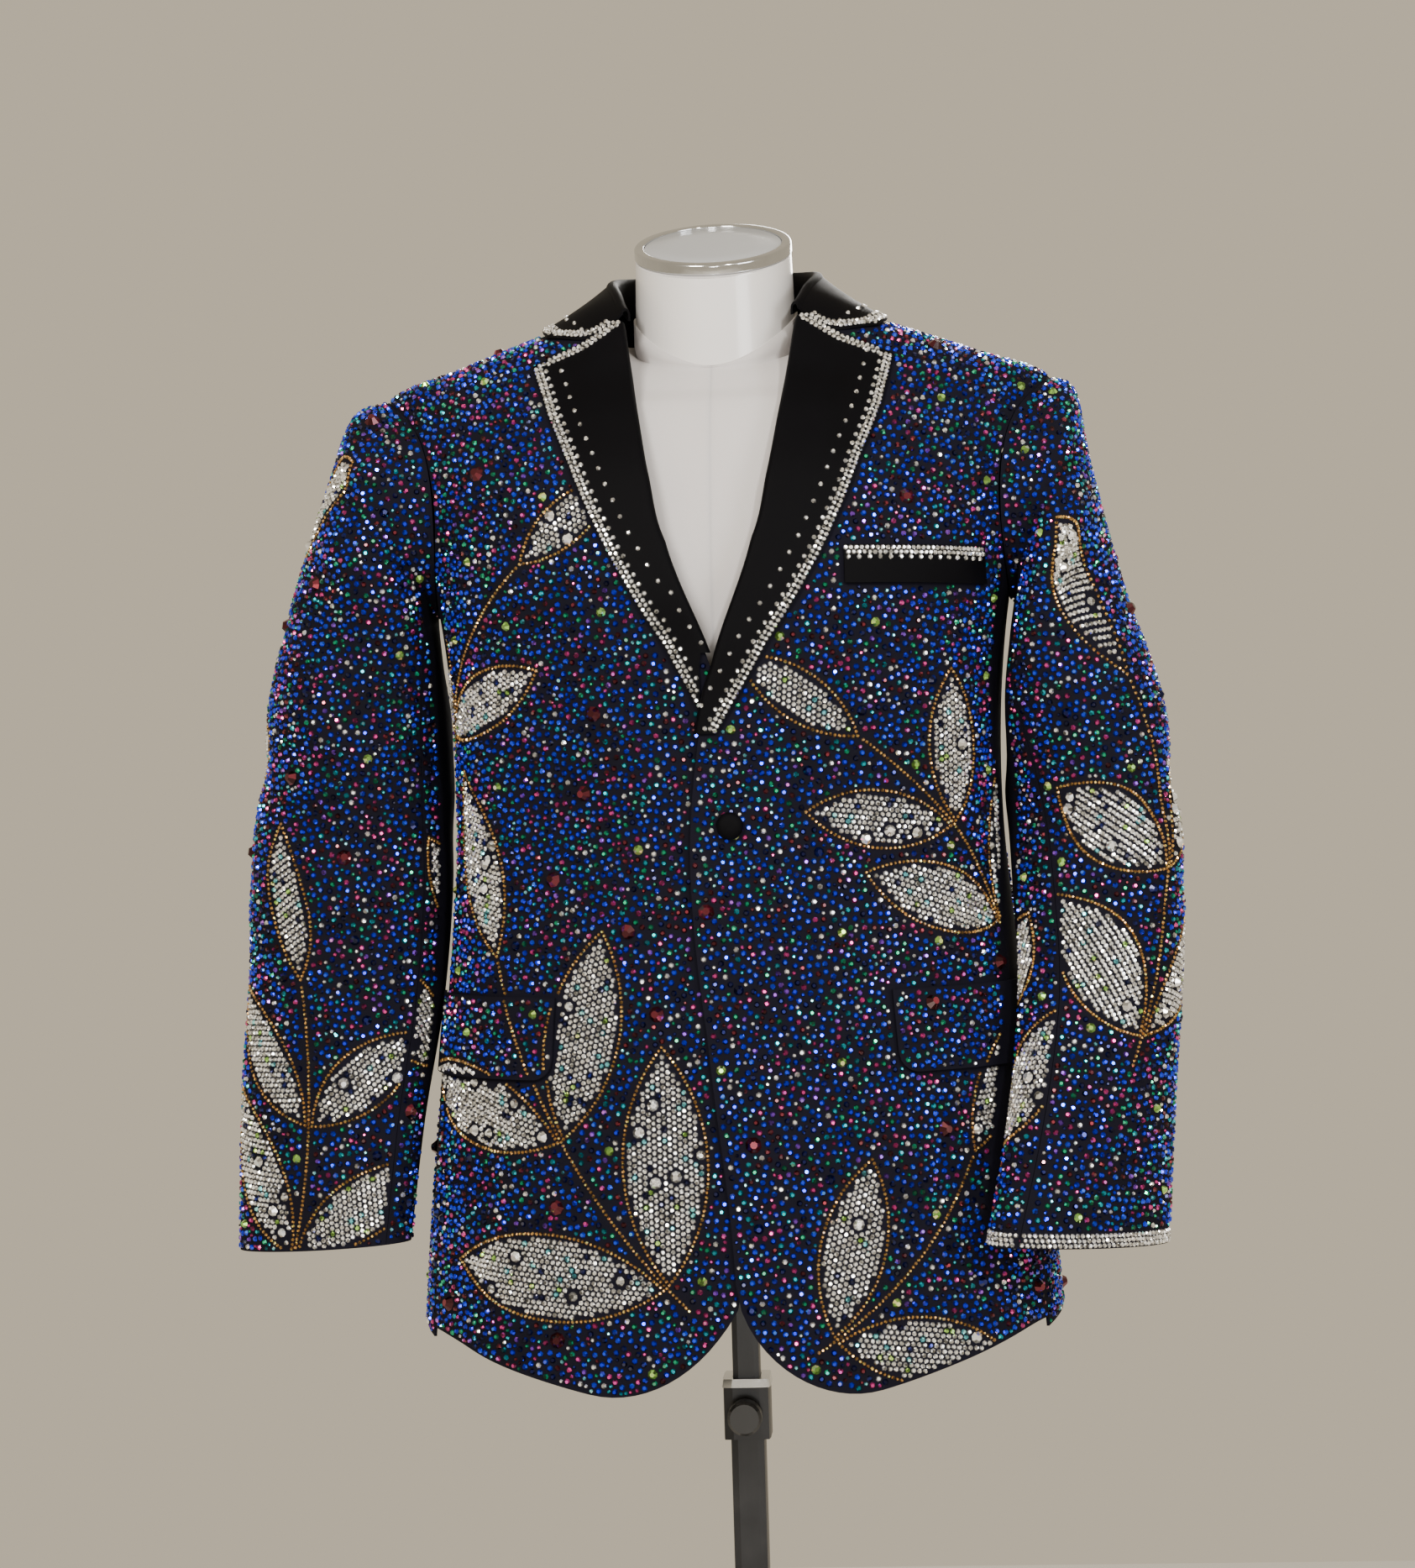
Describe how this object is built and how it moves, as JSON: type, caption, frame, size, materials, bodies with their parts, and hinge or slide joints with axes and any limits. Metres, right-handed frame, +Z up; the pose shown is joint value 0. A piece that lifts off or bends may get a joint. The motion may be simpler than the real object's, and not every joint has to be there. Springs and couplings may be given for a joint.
{
  "type": "rhinestone jacket on a dress form",
  "caption": "Single-breasted jacket covered in rhinestones, with black notch lapels and collar, worn by a limbless dress form that slides up and down on a clamped pole.",
  "frame": {"origin": "on the floor, at the middle of the stand's base, on the pole's axis", "axes": "+Z up along the pole; -Y is the jacket's front; +X is the wearer's left"},
  "size_m": [0.6877, 0.38, 1.5424],
  "materials": {
    "stoned_cloth": "navy cloth packed with faceted stones",
    "black_satin": "soft black satin",
    "crystal": "clear foiled crystal",
    "form_cover": "stretched white jersey",
    "form_gloss": "glossy white",
    "chrome": "polished",
    "black_metal": "satin black paint",
    "black_plastic": "moulded black"
  },
  "bodies": {
    "stand": {"base_plate": "black_metal", "pole_foot": "black_metal", "pole_tube": "black_metal", "clamp_body": "black_metal", "clamp_band": "chrome", "clamp_boss": "chrome"},
    "knob": {"clamp_knob": "black_plastic"},
    "mast": {"pole_slide": "black_metal", "torso": "form_cover", "neck_block": "form_gloss", "neck_rim": "chrome", "neck_cap": "form_gloss", "front_left": "stoned_cloth", "side_left": "stoned_cloth", "back_left": "stoned_cloth", "sleeve_top_left": "stoned_cloth", "sleeve_under_left": "stoned_cloth", "lapel_left": "black_satin", "flap_left": "stoned_cloth", "front_right": "stoned_cloth", "side_right": "stoned_cloth", "back_right": "stoned_cloth", "sleeve_top_right": "stoned_cloth", "sleeve_under_right": "stoned_cloth", "lapel_right": "black_satin", "flap_right": "stoned_cloth", "collar": "black_satin", "breast_welt": "black_satin", "front_button": "black_satin", "cuff_button_left_1": "crystal", "cuff_button_left_2": "crystal", "cuff_button_left_3": "crystal", "cuff_button_left_4": "crystal", "cuff_button_right_1": "crystal", "cuff_button_right_2": "crystal", "cuff_button_right_3": "crystal", "cuff_button_right_4": "crystal"}
  },
  "joints": [
    {"name": "mast_slide", "type": "slide", "parent": "stand", "child": "mast", "axis": [0, 0, 1], "range_m": [-0.09, 0.25]},
    {"name": "knob_turn", "type": "hinge", "parent": "stand", "child": "knob", "pos_m": [0, -0.0173, 0.668], "axis": [0, -1, 0], "range_deg": [0, 360]}
  ]
}
